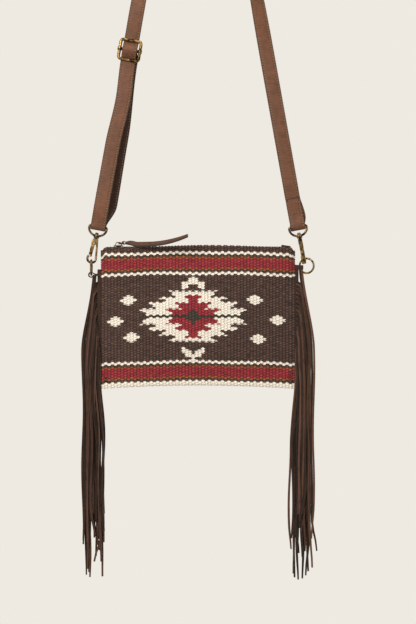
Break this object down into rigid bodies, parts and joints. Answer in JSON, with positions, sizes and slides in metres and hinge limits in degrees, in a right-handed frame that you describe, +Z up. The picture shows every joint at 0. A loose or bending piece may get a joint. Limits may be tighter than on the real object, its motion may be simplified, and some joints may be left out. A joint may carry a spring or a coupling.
{
  "type": "fringed shoulder bag",
  "caption": "Flat woven zip pouch with a stepped-diamond pattern, long suede fringe down both sides, and a leather shoulder strap on swivel snap hooks with a slide adjuster.",
  "frame": {"origin": "middle of the flat underside of the strap's crown, where the bag hangs from a peg or hook", "axes": "+Z up, +X to the right seen from the front, so the patterned front faces -Y"},
  "size_m": [0.3122, 0.0557, 1.0108],
  "materials": {
    "strap_leather": "smooth, waxed, brown",
    "antique_brass": "antiqued, worn bright on the edges",
    "zip_metal": "antiqued",
    "woven_cloth": "weft-faced flat weave, striped and patterned",
    "lining_cloth": "plain weave",
    "zip_tape": "woven tape with dark metal teeth",
    "fringe_suede": "suede",
    "pin_steel": "plain"
  },
  "bodies": {
    "strap": {"strap": "strap_leather", "adjuster_frame": "antique_brass", "adjuster_bar": "antique_brass"},
    "pouch": {"woven_pouch": "woven_cloth", "lining": "lining_cloth", "front_zip_half": "zip_tape", "back_zip_half": "zip_tape", "zip_end_tab": "fringe_suede", "left_fringe": "fringe_suede", "right_fringe": "fringe_suede", "left_eye": "antique_brass", "right_eye": "antique_brass", "left_ring_tab": "fringe_suede", "right_ring_tab": "fringe_suede"},
    "left_hook": {"left_hook": "antique_brass", "left_gate_pin": "pin_steel", "left_gate_spring": "pin_steel"},
    "left_gate": {"left_gate": "antique_brass"},
    "left_ring": {"left_ring": "antique_brass"},
    "right_hook": {"right_hook": "antique_brass", "right_gate_pin": "pin_steel", "right_gate_spring": "pin_steel"},
    "right_gate": {"right_gate": "antique_brass"},
    "right_ring": {"right_ring": "antique_brass"},
    "zip_slider": {"zip_slider": "zip_metal"},
    "pull_ring": {"pull_ring": "zip_metal"},
    "pull_tab": {"pull_tab": "strap_leather"}
  },
  "joints": [
    {"name": "bag_swing", "type": "hinge", "parent": "strap", "child": "pouch", "pos_m": [0, 0, -0.563], "axis": [1, 0, 0], "range_deg": [-30, 30]},
    {"name": "left_swivel", "type": "hinge", "parent": "pouch", "child": "left_hook", "pos_m": [-0.1265, 0, -0.563], "axis": [0.1761, 0, 0.9844], "range_deg": [-12, 12]},
    {"name": "right_swivel", "type": "hinge", "parent": "pouch", "child": "right_hook", "pos_m": [0.1265, 0, -0.563], "axis": [-0.1761, 0, 0.9844], "range_deg": [-20, 2]},
    {"name": "left_gate_open", "type": "hinge", "parent": "left_hook", "child": "left_gate", "pos_m": [-0.13231, 0, -0.58411], "axis": [0, -1, 0], "range_deg": [0, 13], "stiffness_Nm_per_rad": 0.004, "springref_deg": -28.65},
    {"name": "right_gate_open", "type": "hinge", "parent": "right_hook", "child": "right_gate", "pos_m": [0.13034, 0.002, -0.58446], "axis": [-0.9844, 0, -0.1761], "range_deg": [0, 13], "stiffness_Nm_per_rad": 0.004, "springref_deg": -28.65},
    {"name": "left_ring_turn", "type": "hinge", "parent": "pouch", "child": "left_ring", "pos_m": [-0.13544, 0, -0.62485], "axis": [0, 1, 0], "range_deg": [-1.5, 3]},
    {"name": "right_ring_turn", "type": "hinge", "parent": "pouch", "child": "right_ring", "pos_m": [0.12996, 0.00277, -0.6153], "axis": [0, 0, 1], "range_deg": [-8, 3]},
    {"name": "zip_slide", "type": "slide", "parent": "pouch", "child": "zip_slider", "axis": [1, 0, 0], "range_m": [0, 0.2]},
    {"name": "pull_ring_lift", "type": "hinge", "parent": "zip_slider", "child": "pull_ring", "pos_m": [-0.1006, 0, -0.5856], "axis": [-0.4226, -0.9063, 0], "range_deg": [0, 50]},
    {"name": "pull_tab_lift", "type": "hinge", "parent": "pull_ring", "child": "pull_tab", "pos_m": [-0.09408, -0.00304, -0.5844], "axis": [-0.4226, -0.9063, 0], "range_deg": [0, 40]}
  ]
}
